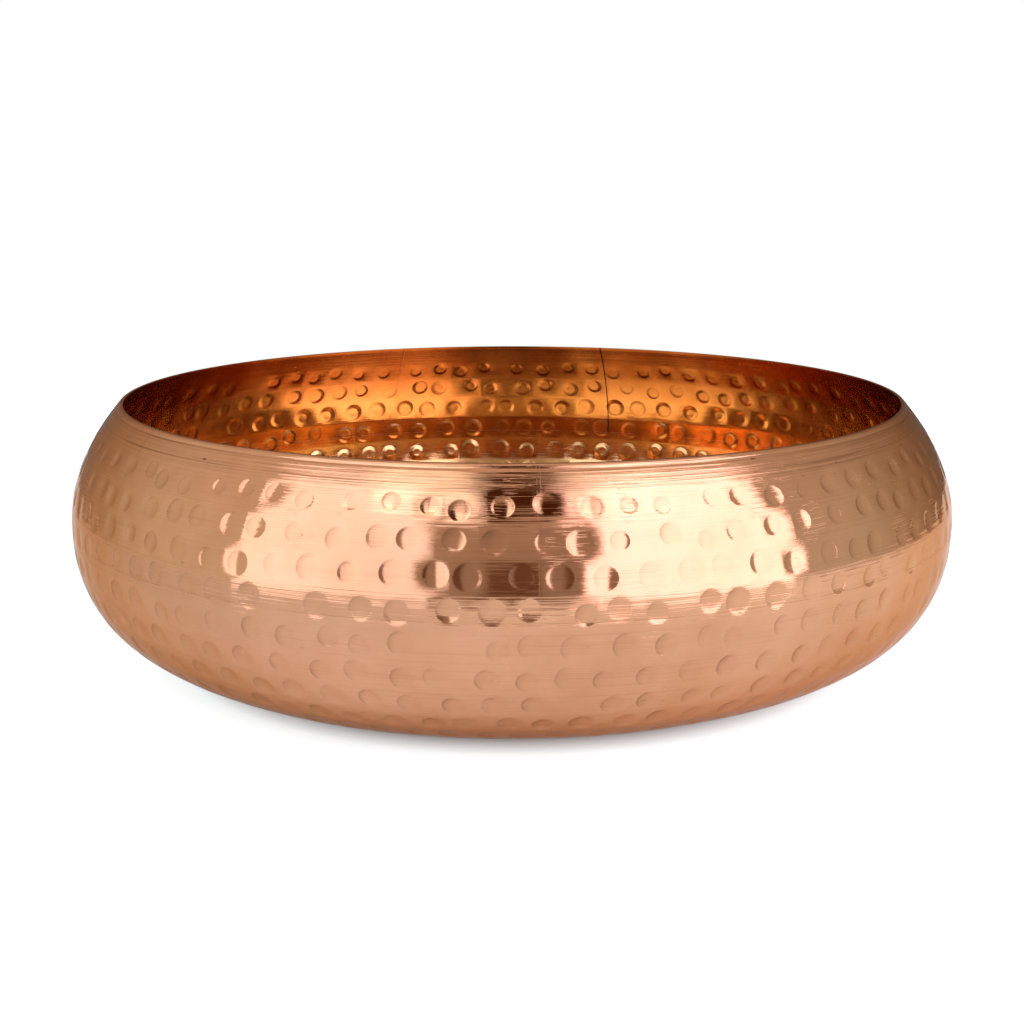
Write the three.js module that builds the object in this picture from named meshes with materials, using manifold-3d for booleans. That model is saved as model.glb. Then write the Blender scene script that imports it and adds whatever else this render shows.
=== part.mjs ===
// A hammered copper bowl, built up from sheet copper.
// A deep lower bowl meets, at its widest line, a shoulder that closes in to the mouth. The shoulder
// is a ring of four curved sheet panels. Brazing metal fills the upright butt joints between the
// panels and the joint round the girth.
// Millimetres, +Z up. The origin is the centre of the flat underside, and -Y is the front.

import * as THREE from "three";
import { mergeVertices } from "three/addons/utils/BufferGeometryUtils.js";
import Module from "manifold-3d";

// Overall sizes
const BOWL_DIAMETER = 305; // outside, at the girth
const BOWL_HEIGHT = 90;
const MOUTH_DIAMETER = 270; // outside, at the rim
const BASE_DIAMETER = 176; // the flat underside
const GIRTH_HEIGHT = 50; // the widest line, above the underside
const SHEET_THICKNESS = 1;

// The curve of the wall: how far each end of a stretch runs straight before it turns
const RIM_LEAN = 42; // degrees from upright, at the rim
const SHOULDER_RUN_AT_GIRTH = 12;
const SHOULDER_RUN_AT_RIM = 18;
const BELLY_TURN_HEIGHT = 5; // the height that the upright belly aims for before it turns under
const BELLY_RUN_AT_BASE = 19;

// Joints
const GIRTH_SEAM_HEIGHT = 1.2;
const UPRIGHT_SEAM_WIDTH = 1.2;
const SEAM_CLEARANCE = 0.3; // between the filler and the sheet beside it

// Upright seams, as degrees round from the front towards +X, in order
const UPRIGHT_SEAMS = [
  { name: "front_seam", turn: 3, nextPanel: "right_panel" },
  { name: "back_right_seam", turn: 163.5, nextPanel: "back_panel" },
  { name: "back_left_seam", turn: 200, nextPanel: "left_panel" },
  { name: "front_left_seam", turn: 305.5, nextPanel: "front_panel" },
];

// Fineness of the faceted surfaces
const STEPS_ROUND = 80;
const STEPS_UP_BELLY = 14;
const STEPS_UP_SHOULDER = 8;

const girthRadius = BOWL_DIAMETER / 2;
const mouthRadius = MOUTH_DIAMETER / 2;
const baseRadius = BASE_DIAMETER / 2;
const rimLean = THREE.MathUtils.degToRad(RIM_LEAN);
const seamBottom = GIRTH_HEIGHT - GIRTH_SEAM_HEIGHT / 2;
const seamTop = GIRTH_HEIGHT + GIRTH_SEAM_HEIGHT / 2;
const bellyTop = seamBottom - SEAM_CLEARANCE;
const shoulderBottom = seamTop + SEAM_CLEARANCE;

const copper = new THREE.MeshStandardMaterial({ color: 0xcd9a74, roughness: 0.34, metalness: 1 });
const brazing = new THREE.MeshStandardMaterial({ color: 0xb98258, roughness: 0.42, metalness: 1 });

const wasm = await Module();
wasm.setup();

const at = (radius, height) => new THREE.Vector2(radius, height);

// The outside of the lower bowl in section, from the edge of the underside up to the girth.
const bellyCurve = new THREE.CubicBezierCurve(
  at(baseRadius, 0),
  at(baseRadius + BELLY_RUN_AT_BASE, 0),
  at(girthRadius, BELLY_TURN_HEIGHT),
  at(girthRadius, bellyTop),
);

// The outside of the shoulder in section, from the girth up to the rim.
const shoulderCurve = new THREE.CubicBezierCurve(
  at(girthRadius, shoulderBottom),
  at(girthRadius, shoulderBottom + SHOULDER_RUN_AT_GIRTH),
  at(
    mouthRadius + SHOULDER_RUN_AT_RIM * Math.sin(rimLean),
    BOWL_HEIGHT - SHOULDER_RUN_AT_RIM * Math.cos(rimLean),
  ),
  at(mouthRadius, BOWL_HEIGHT),
);

// The two faces of a curved sheet in section: points up the outside and the points facing them.
function sheetFaces(curve, steps) {
  const outside = curve.getPoints(steps);
  const inside = outside.map((point, i) => {
    const along = curve.getTangent(i / steps);
    return at(point.x - along.y * SHEET_THICKNESS, point.y + along.x * SHEET_THICKNESS);
  });
  return { outside, inside };
}

// A closed section turned about the vertical axis.
function turned(section) {
  return new THREE.LatheGeometry(section, STEPS_ROUND).rotateX(Math.PI / 2);
}

// The same geometry as a solid that can be cut.
function solidFrom(geometry) {
  const bare = geometry.index ? geometry : mergeVertices(geometry);
  bare.deleteAttribute("normal");
  bare.deleteAttribute("uv");
  const merged = mergeVertices(bare, 1e-3);
  return new wasm.Manifold(
    new wasm.Mesh({
      numProp: 3,
      vertProperties: merged.getAttribute("position").array,
      triVerts: new Uint32Array(merged.index.array),
    }),
  );
}

function geometryFrom(solid) {
  const mesh = solid.getMesh();
  const geometry = new THREE.BufferGeometry();
  geometry.setAttribute("position", new THREE.BufferAttribute(mesh.vertProperties, 3));
  geometry.setIndex(new THREE.BufferAttribute(mesh.triVerts, 1));
  geometry.computeVertexNormals();
  return geometry;
}

// Direction in plan of a turn in degrees, as the angle from +X that shapes use.
const planAngle = (turn) => THREE.MathUtils.degToRad(turn - 90);

// An upright slab from the axis outwards, centred on a seam and tall enough to pass the whole wall.
function seamSlab(turn, width) {
  const reach = BOWL_DIAMETER;
  const slab = new THREE.BoxGeometry(reach, width, 3 * BOWL_HEIGHT);
  slab.translate(reach / 2, 0, 0);
  slab.rotateZ(planAngle(turn));
  return solidFrom(slab);
}

// A wedge of space between two seams, wider than the bowl and taller than the wall.
function wedge(fromTurn, toTurn) {
  const reach = BOWL_DIAMETER;
  const plan = new THREE.Shape();
  const from = planAngle(fromTurn);
  plan.moveTo(0, 0);
  plan.lineTo(reach * Math.cos(from), reach * Math.sin(from));
  plan.absarc(0, 0, reach, from, planAngle(toTurn), false);
  plan.closePath();
  const block = new THREE.ExtrudeGeometry(plan, {
    depth: 3 * BOWL_HEIGHT,
    bevelEnabled: false,
    curveSegments: 12,
  });
  return solidFrom(block.translate(0, 0, -BOWL_HEIGHT));
}

// The lower bowl, closed across its flat underside.
function lowerBowlGeometry() {
  const { outside, inside } = sheetFaces(bellyCurve, STEPS_UP_BELLY);
  return turned([at(0, 0), ...outside, ...inside.reverse(), at(0, SHEET_THICKNESS)]);
}

// The ring of brazing metal round the girth.
function girthSeamGeometry() {
  const inner = girthRadius - SHEET_THICKNESS;
  return turned([
    at(inner, seamBottom),
    at(girthRadius, seamBottom),
    at(girthRadius, seamTop),
    at(inner, seamTop),
    at(inner, seamBottom),
  ]);
}

// The whole shoulder as one ring, before it is parted at the seams. Its rim is cut level.
function shoulderRing() {
  const { outside, inside } = sheetFaces(shoulderCurve, STEPS_UP_SHOULDER);
  const innerRim = at(mouthRadius - SHEET_THICKNESS / Math.cos(rimLean), BOWL_HEIGHT);
  return solidFrom(turned([...outside, innerRim, ...inside.reverse(), outside[0]]));
}

function addMesh(group, name, geometry, material) {
  const mesh = new THREE.Mesh(geometry, material);
  mesh.name = name;
  group.add(mesh);
}

// The four panels and the four strips of filler between them.
function makeShoulder() {
  const shoulder = new THREE.Group();
  const ring = shoulderRing();
  const slots = UPRIGHT_SEAMS.map((seam) =>
    seamSlab(seam.turn, UPRIGHT_SEAM_WIDTH + 2 * SEAM_CLEARANCE),
  );
  const parted = slots.reduce((rest, slot) => rest.subtract(slot), ring);
  UPRIGHT_SEAMS.forEach((seam, i) => {
    const next = UPRIGHT_SEAMS[(i + 1) % UPRIGHT_SEAMS.length];
    const endTurn = next.turn > seam.turn ? next.turn : next.turn + 360;
    const panel = parted.intersect(wedge(seam.turn, endTurn));
    const filler = ring.intersect(seamSlab(seam.turn, UPRIGHT_SEAM_WIDTH));
    addMesh(shoulder, seam.nextPanel, geometryFrom(panel), copper);
    addMesh(shoulder, seam.name, geometryFrom(filler), brazing);
  });
  return shoulder;
}

const bowl = new THREE.Group();
addMesh(bowl, "lower_bowl", lowerBowlGeometry(), copper);
addMesh(bowl, "girth_seam", girthSeamGeometry(), brazing);
bowl.add(makeShoulder());

export default bowl;
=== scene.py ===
"""A hammered copper bowl on a plain studio floor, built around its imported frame.

The wall starts as one turned sheet: a lathe-turned band under the rim, ten rows of hammer marks and
a plain foot and floor. It is then parted along its joints, so that the lower bowl, the four
shoulder panels and the brazing metal between them are separate pieces.

A place on the wall is given by its turn, in radians round from the front (-Y) towards +X, and its
drop, the length in metres down the outside of the wall from the rim.
"""

import bisect
import logging
import math
import random
from dataclasses import dataclass, field
from enum import Enum
from functools import reduce
from itertools import accumulate

import bmesh
import bpy
from mathutils import Matrix, Quaternion, Vector, geometry, noise


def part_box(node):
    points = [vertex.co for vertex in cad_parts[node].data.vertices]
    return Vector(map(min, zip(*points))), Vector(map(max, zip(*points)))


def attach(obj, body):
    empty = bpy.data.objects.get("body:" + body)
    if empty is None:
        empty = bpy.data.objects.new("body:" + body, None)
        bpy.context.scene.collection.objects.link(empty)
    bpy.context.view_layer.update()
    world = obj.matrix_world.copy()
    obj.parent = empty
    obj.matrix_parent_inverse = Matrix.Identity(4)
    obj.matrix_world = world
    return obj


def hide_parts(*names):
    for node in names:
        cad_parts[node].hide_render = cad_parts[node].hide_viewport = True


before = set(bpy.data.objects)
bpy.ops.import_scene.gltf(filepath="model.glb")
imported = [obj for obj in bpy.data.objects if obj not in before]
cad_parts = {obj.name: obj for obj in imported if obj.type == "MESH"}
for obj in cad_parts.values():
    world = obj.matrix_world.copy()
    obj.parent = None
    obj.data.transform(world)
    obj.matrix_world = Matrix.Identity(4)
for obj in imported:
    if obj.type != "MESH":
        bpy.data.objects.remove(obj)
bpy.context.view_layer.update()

MM = 0.001
TOUCHING = 0.01 * MM  # nearer than this counts as the same place
ON_PLANE = 0.001 * MM  # a vertex this near a cutting plane counts as lying on it
log = logging.getLogger("bowl")


class Face(Enum):
    """The two faces of the sheet."""

    OUTSIDE = 0
    INSIDE = 1


class Edge(Enum):
    """The edges of a strip of filler, as the side of its middle that they lie on."""

    LOW = -1
    HIGH = 1


class Finish(Enum):
    """The place of each finish in a piece's material slots."""

    OUTSIDE = 0
    INSIDE = 1
    CUT = 2
    HAIRLINE = 3
    CRACK = 4


# ---------------------------------------------------------------------------------------------
# The wall in section
# ---------------------------------------------------------------------------------------------


def held(share: float) -> float:
    """Keeps a share from 0 to 1."""
    return min(max(share, 0), 1)


def far_out(node: str, height: float) -> float:
    """Finds how far from the axis a node of the frame reaches at one height.

    Args:
        node: The name of the node.
        height: The height to look at, in metres.

    Returns:
        The largest distance from the axis, in metres.
    """
    points = [v.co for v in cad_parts[node].data.vertices]
    return max(math.hypot(p.x, p.y) for p in points if abs(p.z - height) < TOUCHING)


def turn_of(node: str) -> float:
    """Finds the turn at which a node of the frame lies.

    Args:
        node: The name of the node.

    Returns:
        The turn of the middle of its box, in radians from 0 to a full circle.
    """
    low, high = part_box(node)
    middle = (low + high) / 2
    return math.atan2(middle.x, -middle.y) % math.tau


@dataclass(frozen=True)
class Spot:
    """A place on the outside of the wall in section, with the direction that faces out of it."""

    radius: float
    height: float
    out_across: float
    out_up: float

    def sunk(self, depth: float) -> tuple[float, float]:
        """Gives the radius and height of the point this far into the sheet."""
        return self.radius - depth * self.out_across, self.height - depth * self.out_up


@dataclass
class WallProfile:
    """The outside of the bowl in section, from the rim down to the middle of the underside."""

    rim_lean: float = math.radians(42)
    shoulder_run_at_girth: float = 12 * MM
    shoulder_run_at_rim: float = 18 * MM
    belly_turn_height: float = 5 * MM
    belly_run_at_base: float = 19 * MM
    steps: int = 160
    seam_bottom: float = field(init=False)
    seam_top: float = field(init=False)
    rim_height: float = field(init=False)
    rim_radius: float = field(init=False)
    girth_radius: float = field(init=False)
    base_radius: float = field(init=False)
    thickness: float = field(init=False)
    points: list[Vector] = field(init=False)
    drops: list[float] = field(init=False)

    def __post_init__(self) -> None:
        """Reads the driving sizes off the frame and lays out the section."""
        seam_low, seam_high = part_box("girth_seam")
        self.seam_bottom, self.seam_top = seam_low.z, seam_high.z
        self.girth_radius = seam_high.x
        self.rim_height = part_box("right_panel")[1].z
        self.rim_radius = far_out("right_panel", self.rim_height)
        self.base_radius = far_out("lower_bowl", 0.0)
        axis = [v.co.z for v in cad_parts["lower_bowl"].data.vertices if v.co.xy.length < MM]
        self.thickness = max(axis)
        self.points = self._section()
        steps = [(b - a).length for a, b in zip(self.points, self.points[1:])]
        self.drops = [0.0, *accumulate(steps)]

    def _section(self) -> list[Vector]:
        """Lays out the points of the section.

        Returns:
            The points as radius and height, from the rim to the middle of the underside.
        """
        rim = Vector((self.rim_radius, self.rim_height, 0))
        rim_pull = Vector((math.sin(self.rim_lean), -math.cos(self.rim_lean), 0))
        girth_top = Vector((self.girth_radius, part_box("right_panel")[0].z, 0))
        girth_bottom = Vector((self.girth_radius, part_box("lower_bowl")[1].z, 0))
        base = Vector((self.base_radius, 0, 0))
        shoulder = geometry.interpolate_bezier(
            rim,
            rim + self.shoulder_run_at_rim * rim_pull,
            girth_top + Vector((0, self.shoulder_run_at_girth, 0)),
            girth_top,
            self.steps,
        )
        belly = geometry.interpolate_bezier(
            girth_bottom,
            Vector((self.girth_radius, self.belly_turn_height, 0)),
            base + Vector((self.belly_run_at_base, 0, 0)),
            base,
            self.steps,
        )
        return [p.xy for p in [*shoulder, *belly, Vector((0, 0, 0))]]

    @property
    def base_drop(self) -> float:
        """The drop at the edge of the flat underside."""
        return self.drops[-2]

    def _heading(self, i: int) -> Vector:
        """Gives the direction of the section past one of its points, towards the foot."""
        before, after = self.points[max(i - 1, 0)], self.points[min(i + 1, len(self.points) - 1)]
        return (after - before).normalized()

    def at(self, drop: float) -> Spot:
        """Finds a place on the section.

        Args:
            drop: The length down the wall from the rim, in metres.

        Returns:
            The place, with the direction that faces out of the wall.
        """
        i = min(max(bisect.bisect_right(self.drops, drop) - 1, 0), len(self.drops) - 2)
        share = (drop - self.drops[i]) / (self.drops[i + 1] - self.drops[i])
        point = self.points[i].lerp(self.points[i + 1], share)
        if drop > self.base_drop:
            return Spot(point.x, point.y, 0.0, -1.0)
        heading = self._heading(i).lerp(self._heading(i + 1), share).normalized()
        return Spot(point.x, point.y, -heading.y, heading.x)


# ---------------------------------------------------------------------------------------------
# The hammered wall
# ---------------------------------------------------------------------------------------------


@dataclass(frozen=True)
class MarkRing:
    """One ring of a hammer mark: its reach, and its depth on each face, as shares of the mark's own.

    It is struck where the hammer's face has touched the sheet. Its last share is the painted shade
    that the ring takes on the shaded side of the mark.
    """

    reach: float
    outside: float
    inside: float
    struck: float
    mark_shade: float


@dataclass(frozen=True)
class HammerMark:
    """One blow of the hammer: where it falls, how wide, deep and firm it is and how it leans."""

    turn: float
    drop: float
    radius: float
    depth: float
    touch: float
    tilt: Vector


@dataclass
class HammerWork:
    """How the rows of hammer marks are laid out, below a band under the rim that has none.

    A mark's painted shade, on one side of it, begins a little past square to the shade's direction, and
    rises quickly to its full share.
    """

    band: float = 8.4 * MM
    rows: int = 10
    row_pitch: float = 9.78 * MM
    marks_round: int = 80
    lines_per_row: int = 4
    columns_per_mark: int = 5
    radius: float = 3.6 * MM
    radius_spread: float = 0.13
    light_rows: tuple[tuple[int, float], ...] = ((0, 0.82), (1, 0.92), (8, 0.9), (9, 0.8))
    depth: float = 0.29 * MM
    depth_spread: float = 0.35
    faintest_touch: float = 0.35
    tilt: float = 0.14
    lean: tuple[float, float] = (-0.22, 0.1)
    # Painted shade falls on the side of each mark that faces this direction
    mark_shade_direction: float = math.radians(195)
    mark_shade_square_on: float = 0.1
    mark_shade_rise: float = 1.1
    margin: float = 0.12 * MM
    missed: float = 0.012
    # Each ring's reach, its depth outside and inside, how struck it is and its painted shade
    rings: tuple[MarkRing, ...] = (
        MarkRing(1.08, 0.0, 0.0, 0.0, 0.0),
        MarkRing(0.96, 0.16, 0.22, 0.5, 1.0),
        MarkRing(0.76, 0.52, 0.96, 1.0, 0.42),
        MarkRing(0.42, 0.86, 1.08, 1.0, 0.16),
    )
    centre: MarkRing = MarkRing(0.0, 1.0, 0.8, 1.0, 0.0)

    @property
    def columns(self) -> int:
        """The number of steps round the wall."""
        return self.marks_round * self.columns_per_mark

    @property
    def foot(self) -> float:
        """The drop at which the hammered rows end."""
        return self.band + self.rows * self.row_pitch


@dataclass
class HammeredWall:
    """The whole wall of the bowl as one closed sheet, before it is parted at its joints.

    The lines of the groove, and the part of it that is sunk, are shares of half its width. The lines
    of the floor are shares of the base's radius. Every ring of a mark opens as the same small inset,
    and its vertices are then moved to their places.
    """

    profile: WallProfile
    work: HammerWork = field(default_factory=HammerWork)
    seed: int = 7
    groove_drop: float = 1.7 * MM
    groove_width: float = 0.5 * MM
    groove_depth: float = 0.08 * MM
    groove_lines: tuple[float, ...] = (-1.6, -0.6, 0.6, 1.6)
    groove_floor: float = 0.8
    band_lines: tuple[float, ...] = (3.4 * MM, 5.0 * MM, 6.7 * MM)
    foot_steps: int = 9
    floor_lines: tuple[float, ...] = (0.06, 0.35, 0.7, 1)
    rim_bevel: float = 0.35 * MM
    rim_bevel_segments: int = 3
    ripple: float = 0.13 * MM
    ripple_length: float = 34 * MM
    # Share of painted shade that rings each bump all round on the inside
    inside_ring_shade: float = 0.75
    first_inset: float = 0.2 * MM
    dice: random.Random = field(init=False)
    offsets: list[int] = field(init=False)

    def build(self) -> bmesh.types.BMesh:
        """Makes the sheet.

        Each vertex notes its turn and drop, how deep it is pressed on each face, which face it is
        on, how far it is struck, how much painted shade it takes on one side of its mark and how
        near it is to a mark's edge.

        Returns:
            A closed mesh that holds the outside, the inside and the rim between them.
        """
        self.dice = random.Random(self.seed)
        bm = bmesh.new()
        for name in ("turn", "drop", "outside", "inside", "face", "struck", "mark_shade", "edge"):
            bm.verts.layers.float.new(name)
        layers = bm.verts.layers.float
        self.turn, self.drop, self.struck = layers["turn"], layers["drop"], layers["struck"]
        self.outside, self.inside, self.face = layers["outside"], layers["inside"], layers["face"]
        self.mark_shade, self.edge = layers["mark_shade"], layers["edge"]
        self._turn_section(bm)
        self._strike(bm)
        self._cut_groove(bm)
        self._add_inside(bm)
        self._close_rim(bm)
        for each in bm.faces:
            each.smooth = True
        bm.normal_update()
        facing = bm.verts.layers.float_vector.new("facing")
        for vert in bm.verts:
            vert[facing] = vert.normal
        return bm

    def _lines(self) -> list[float]:
        """Lists the lines that the section is made of.

        Returns:
            The drop of each line, from the rim to the middle of the underside.
        """
        work, profile = self.work, self.profile
        half = self.groove_width / 2
        groove = [self.groove_drop + share * half for share in self.groove_lines]
        band = [0.0, *groove, *self.band_lines]
        row_lines = work.rows * work.lines_per_row
        rows = [work.band + i * work.row_pitch / work.lines_per_row for i in range(row_lines + 1)]
        foot = [
            work.foot + i * (profile.base_drop - work.foot) / self.foot_steps
            for i in range(1, self.foot_steps + 1)
        ]
        floor = [profile.base_drop + share * profile.base_radius for share in self.floor_lines]
        return [*band, *rows, *foot, *floor]

    def _turn_section(self, bm: bmesh.types.BMesh) -> None:
        """Turns the section about the axis and notes the turn and drop of each vertex.

        Args:
            bm: The empty mesh to fill.
        """
        last = None
        for drop in self._lines():
            spot = self.profile.at(drop)
            vert = bm.verts.new((0, -spot.radius, spot.height))
            vert[self.drop] = drop
            if last:
                bm.edges.new((last, vert))
            last = vert
        bmesh.ops.spin(
            bm,
            geom=bm.verts[:] + bm.edges[:],
            axis=(0, 0, 1),
            cent=(0, 0, 0),
            steps=self.work.columns,
            angle=math.tau,
            use_merge=True,
        )
        middle = [v for v in bm.verts if v.co.xy.length < TOUCHING]
        bmesh.ops.remove_doubles(bm, verts=middle, dist=TOUCHING)
        bmesh.ops.recalc_face_normals(bm, faces=bm.faces[:])
        for vert in bm.verts:
            vert[self.turn] = math.atan2(vert.co.x, -vert.co.y) % math.tau

    def _cells(self, bm: bmesh.types.BMesh) -> dict[tuple[int, int], list[bmesh.types.BMFace]]:
        """Gathers the faces of the hammered rows into one cell for each hammer mark.

        Args:
            bm: The turned section.

        Returns:
            The faces of each cell, by its row and its place in the row.
        """
        work = self.work
        self.offsets = [self.dice.randrange(work.columns_per_mark) for _ in range(work.rows)]
        cells: dict[tuple[int, int], list[bmesh.types.BMFace]] = {}
        for each in bm.faces:
            drop = sum(v[self.drop] for v in each.verts) / len(each.verts)
            row = math.floor((drop - work.band) / work.row_pitch)
            if not 0 <= row < work.rows:
                continue
            middle = each.calc_center_median()
            turn = math.atan2(middle.x, -middle.y) % math.tau
            column = math.floor(turn / math.tau * work.columns) - self.offsets[row]
            place = column % work.columns // work.columns_per_mark
            cells.setdefault((row, place), []).append(each)
        return cells

    def _mark(self, row: int, place: int) -> HammerMark:
        """Chooses where and how hard one blow falls.

        Args:
            row: The row, counted down from the rim.
            place: The place in the row.

        Returns:
            The mark, with room left all round it inside its own cell.
        """
        work, dice = self.work, self.dice
        column = self.offsets[row] + (place + 0.5) * work.columns_per_mark
        drop = work.band + (row + 0.5) * work.row_pitch
        reach_round = self.profile.at(drop).radius
        softness = dict(work.light_rows).get(row, 1.0)
        radius = work.radius * softness * (1 + work.radius_spread * dice.uniform(-1, 1))
        room = radius * work.rings[0].reach + work.margin
        across = max(math.pi * reach_round / work.marks_round - room, 0)
        down = max(work.row_pitch / 2 - room, 0)
        return HammerMark(
            turn=column / work.columns * math.tau + dice.uniform(-across, across) / reach_round,
            drop=drop + dice.uniform(-down, down),
            radius=radius,
            depth=work.depth * softness * (1 + work.depth_spread * dice.uniform(-1, 1)),
            touch=dice.uniform(work.faintest_touch, 1),
            tilt=Vector(work.lean) + Vector((dice.uniform(-1, 1), dice.uniform(-1, 1))) * work.tilt,
        )

    def _place(
        self, vert: bmesh.types.BMVert, mark: HammerMark, ring: MarkRing, angle: float
    ) -> None:
        """Notes where a vertex of a hammer mark lies and how deep it is pressed.

        Args:
            vert: The vertex.
            mark: The mark that it belongs to.
            ring: The ring that it lies on.
            angle: Its direction from the middle of the mark, in radians.
        """
        reach = ring.reach * mark.radius
        across, down = reach * math.cos(angle), reach * math.sin(angle)
        lean = 1 + ring.reach * (mark.tilt.x * math.cos(angle) + mark.tilt.y * math.sin(angle))
        vert[self.turn] = mark.turn + across / self.profile.at(mark.drop).radius
        vert[self.drop] = mark.drop + down
        vert[self.outside] = ring.outside * mark.depth * lean
        vert[self.inside] = ring.inside * mark.depth * lean
        vert[self.struck] = ring.struck * mark.touch
        work = self.work
        # Painted shade, strongest on one side of the mark; the edge share keeps it for every side
        shaded_side = work.mark_shade_square_on + work.mark_shade_rise * math.cos(angle - work.mark_shade_direction)
        vert[self.mark_shade] = ring.mark_shade * mark.touch * held(shaded_side)
        vert[self.edge] = ring.mark_shade * mark.touch

    def _angles(self, cell: bmesh.types.BMFace, mark: HammerMark) -> list[float]:
        """Spaces the corners of a cell evenly round its mark.

        Args:
            cell: The cell, as one face.
            mark: Its hammer mark.

        Returns:
            A direction for each corner, in the order of the face's vertices.
        """
        reach_round = self.profile.at(mark.drop).radius
        seen = []
        for vert in cell.verts:
            off = (vert[self.turn] - mark.turn + math.pi) % math.tau - math.pi
            seen.append(math.atan2(vert[self.drop] - mark.drop, off * reach_round))
        count = len(seen)
        first = (seen[1] - seen[0] + math.pi) % math.tau - math.pi
        step = math.copysign(math.tau / count, first)
        slack = Vector((0, 0))
        for i, angle in enumerate(seen):
            slack += Vector((math.cos(angle - i * step), math.sin(angle - i * step)))
        start = math.atan2(slack.y, slack.x)
        return [start + i * step for i in range(count)]

    def _strike(self, bm: bmesh.types.BMesh) -> None:
        """Opens each cell into the rings of its hammer mark.

        Args:
            bm: The turned section.
        """
        struck: dict[bmesh.types.BMFace, tuple[HammerMark, list[float]]] = {}
        for (row, place), faces in sorted(self._cells(bm).items(), key=lambda item: item[0]):
            mark = self._mark(row, place)
            if self.dice.random() < self.work.missed:
                continue
            cell = bmesh.ops.dissolve_faces(bm, faces=faces, use_verts=False)["region"][0]
            struck[cell] = (mark, self._angles(cell, mark))
        for ring in self.work.rings:
            bmesh.ops.inset_individual(bm, faces=list(struck), thickness=self.first_inset)
            for cell, (mark, angles) in struck.items():
                for vert, angle in zip(cell.verts, angles):
                    self._place(vert, mark, ring, angle)
        marks = {cell.verts[0]: mark for cell, (mark, _) in struck.items()}
        for vert in bmesh.ops.poke(bm, faces=list(struck))["verts"]:
            mark = next(
                marks[e.other_vert(vert)] for e in vert.link_edges if e.other_vert(vert) in marks
            )
            self._place(vert, mark, self.work.centre, 0.0)

    def _cut_groove(self, bm: bmesh.types.BMesh) -> None:
        """Sinks the fine groove that is turned into the outside just under the rim.

        Args:
            bm: The turned section.
        """
        reach = self.groove_floor * self.groove_width / 2
        for vert in bm.verts:
            if abs(vert[self.drop] - self.groove_drop) < reach:
                vert[self.outside] = self.groove_depth

    def _ripple_at(self, point: Vector, drop: float) -> float:
        """Gives how far the hammered sheet strays from its true curve at a point.

        Args:
            point: The point on the true curve.
            drop: Its drop.

        Returns:
            The distance into the sheet, in metres.
        """
        work = self.work
        fade_in = held((drop - work.band) / work.row_pitch)
        fade_out = held((work.foot + work.row_pitch - drop) / work.row_pitch)
        return self.ripple * noise.noise(point / self.ripple_length) * fade_in * fade_out

    def _settle(self, vert: bmesh.types.BMVert, depth: float) -> None:
        """Moves a vertex to the place of its turn and drop.

        Args:
            vert: The vertex.
            depth: How far into the sheet it goes.
        """
        spot = self.profile.at(vert[self.drop])
        turn = vert[self.turn]
        across, ahead = math.sin(turn), -math.cos(turn)
        on_curve = Vector((spot.radius * across, spot.radius * ahead, spot.height))
        radius, height = spot.sunk(depth + self._ripple_at(on_curve, vert[self.drop]))
        vert.co = (radius * across, radius * ahead, height)

    def _add_inside(self, bm: bmesh.types.BMesh) -> None:
        """Sets the outside in place and adds the inside, one thickness away and facing in.

        Args:
            bm: The outside, with its marks noted.
        """
        copied = bmesh.ops.duplicate(bm, geom=bm.verts[:] + bm.edges[:] + bm.faces[:])["geom"]
        inner_verts = {e for e in copied if isinstance(e, bmesh.types.BMVert)}
        inner_faces = [e for e in copied if isinstance(e, bmesh.types.BMFace)]
        for vert in bm.verts:
            if vert in inner_verts:
                vert[self.face] = Face.INSIDE.value
                # On the inside, painted shade also rings each bump all round.
                vert[self.mark_shade] = max(vert[self.mark_shade], self.inside_ring_shade * vert[self.edge])
                self._settle(vert, self.profile.thickness + vert[self.inside])
            else:
                self._settle(vert, vert[self.outside])
        for each in inner_faces:
            each.material_index = Finish.INSIDE.value
        bmesh.ops.reverse_faces(bm, faces=inner_faces)

    def _close_rim(self, bm: bmesh.types.BMesh) -> None:
        """Levels the rim, closes it and eases its two edges.

        Args:
            bm: The outside and the inside, which are open at the rim.
        """
        profile = self.profile
        rim = [e for e in bm.edges if e.is_boundary]
        inner_radius = profile.rim_radius - profile.thickness / math.cos(profile.rim_lean)
        for vert in {v for e in rim for v in e.verts if v[self.face] == Face.INSIDE.value}:
            across, ahead = math.sin(vert[self.turn]), -math.cos(vert[self.turn])
            vert.co = (inner_radius * across, inner_radius * ahead, profile.rim_height)
        for each in bmesh.ops.bridge_loops(bm, edges=rim)["faces"]:
            each.material_index = Finish.CUT.value
        bmesh.ops.bevel(
            bm,
            geom=rim,
            offset=self.rim_bevel,
            affect="EDGES",
            segments=self.rim_bevel_segments,
            profile=0.5,
            material=-1,
        )


# ---------------------------------------------------------------------------------------------
# Parting the wall at its joints
# ---------------------------------------------------------------------------------------------


def everything(bm: bmesh.types.BMesh) -> list:
    """Lists all the elements of a mesh."""
    return bm.verts[:] + bm.edges[:] + bm.faces[:]


def cut_off(bm: bmesh.types.BMesh, point: Vector, away: Vector) -> None:
    """Cuts a closed mesh with a plane, takes one side away and closes the cut.

    Args:
        bm: The mesh.
        point: A point of the plane.
        away: The direction of the side that goes.
    """
    bmesh.ops.bisect_plane(
        bm,
        geom=everything(bm),
        dist=ON_PLANE,
        plane_co=point,
        plane_no=away,
        clear_outer=True,
    )
    opened = [e for e in bm.edges if e.is_boundary]
    is_level = abs(away.z) > away.xy.length
    if is_level:
        filled = bmesh.ops.bridge_loops(bm, edges=opened)["faces"]
    else:
        filled = bmesh.ops.holes_fill(bm, edges=opened, sides=0)["faces"]
    for each in filled:
        each.material_index = Finish.CUT.value
        each.smooth = False


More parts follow.
